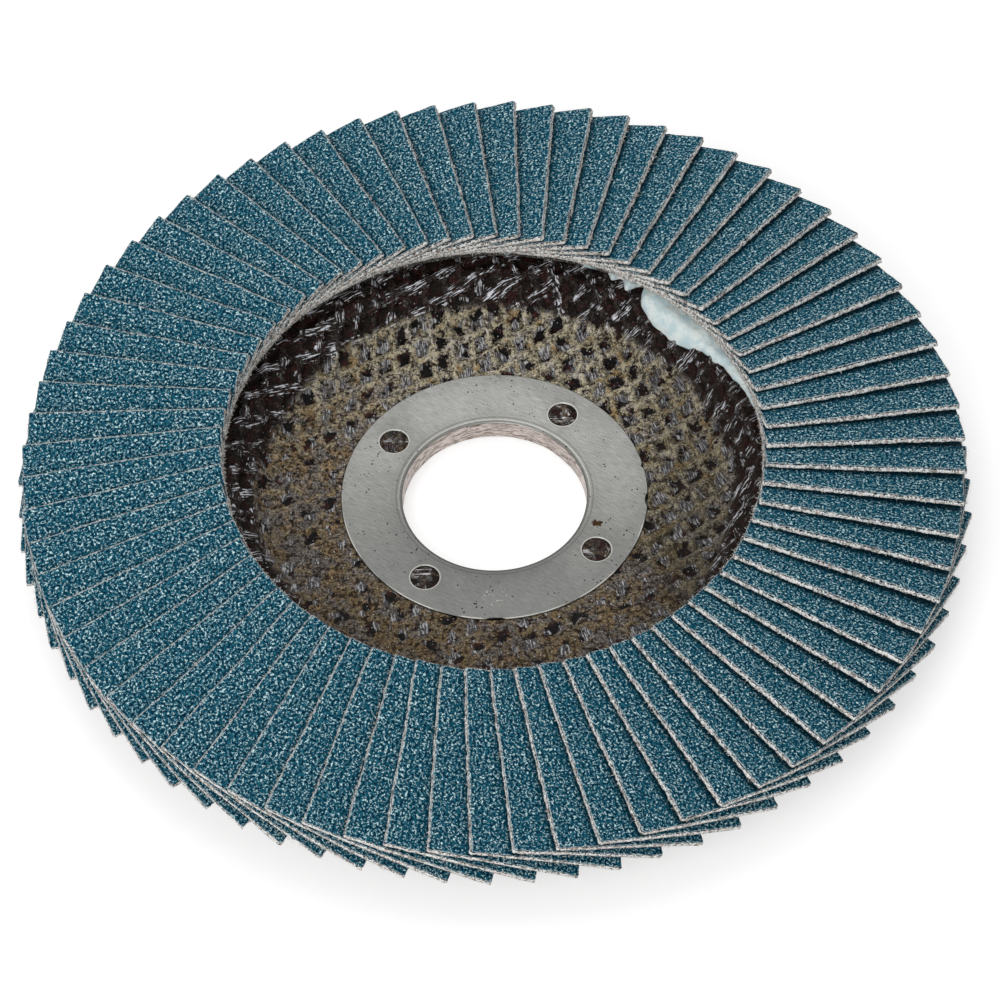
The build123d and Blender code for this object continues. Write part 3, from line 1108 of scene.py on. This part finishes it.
def make_camera():
    target = Vector((0, 0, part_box("centre_ring")[1].z))
    back = Vector((0, -math.cos(CAMERA_ELEVATION), math.sin(CAMERA_ELEVATION)))
    level = Vector((1, 0, 0))
    upright = back.cross(level)
    right = math.cos(CAMERA_ROLL) * level + math.sin(CAMERA_ROLL) * upright
    up = -math.sin(CAMERA_ROLL) * level + math.cos(CAMERA_ROLL) * upright
    place = target + back * CAMERA_DISTANCE + right * AIM_RIGHT + up * AIM_UP
    data = bpy.data.cameras.new("camera")
    data.lens = CAMERA_FOCAL_LENGTH
    data.sensor_width = CAMERA_SENSOR
    data.clip_start = 0.01
    camera = add_object("camera", data)
    turned = Matrix((right, up, back)).transposed().to_4x4()
    camera.matrix_world = Matrix.Translation(place) @ turned
    bpy.context.scene.camera = camera


def soft_light(name, place, size, power):
    """A square soft box that points at the disc."""
    data = bpy.data.lights.new(name, "AREA")
    data.shape = "SQUARE"
    data.size = size
    data.energy = power
    light = add_object(name, data)
    light.location = place
    light.rotation_euler = (-Vector(place)).to_track_quat("-Z", "Y").to_euler()


def seen_directly(s):
    """1 for what the camera, reflections and glass show, and 0 for lighting."""
    path = s.node("ShaderNodeLightPath")
    seen = s.most(path["Is Camera Ray"], path["Is Glossy Ray"])
    return s.most(seen, path["Is Transmission Ray"])


def make_floor():
    """A pale floor just under the disc. Its glow is only seen, and lights nothing."""
    height = (cad_box[0][2] - FLOOR_GAP) / MM
    reach = FLOOR_REACH / MM
    points = [(x * reach, y * reach, height) for x, y in ((-1, -1), (1, -1), (1, 1), (-1, 1))]
    s = Shader("floor")
    surface = s.node("ShaderNodeBsdfDiffuse", None, {"Color": FLOOR_GREY})[0]
    strength = s.times(seen_directly(s), FLOOR_GLOW)
    glow = s.node("ShaderNodeEmission", None, {"Strength": strength})[0]
    seen = s.node("ShaderNodeAddShader", None, {0: surface, 1: glow})[0]
    s.node("ShaderNodeOutputMaterial", None, {"Surface": seen})
    floor = mesh_object("floor", [(points, [(0, 1, 2, 3)])], s.owner)


def make_world():
    s = Shader("studio", bpy.data.worlds)
    inputs = {"Value": seen_directly(s), "To Min": WORLD_LIGHTING, "To Max": WORLD_SEEN}
    strength = s.node("ShaderNodeMapRange", None, inputs)["Result"]
    inputs = {"Color": (1, 1, 1), "Strength": strength}
    background = s.node("ShaderNodeBackground", None, inputs)[0]
    s.node("ShaderNodeOutputWorld", None, {"Surface": background})
    bpy.context.scene.world = s.owner


make_camera()
make_world()
make_floor()
soft_light("back_light", (-0.06, 0.42, 0.72), 0.70, 2.2)
soft_light("front_light", (-0.30, -0.70, 0.52), 0.80, 4.6)
bpy.context.scene.view_settings.view_transform = "Standard"
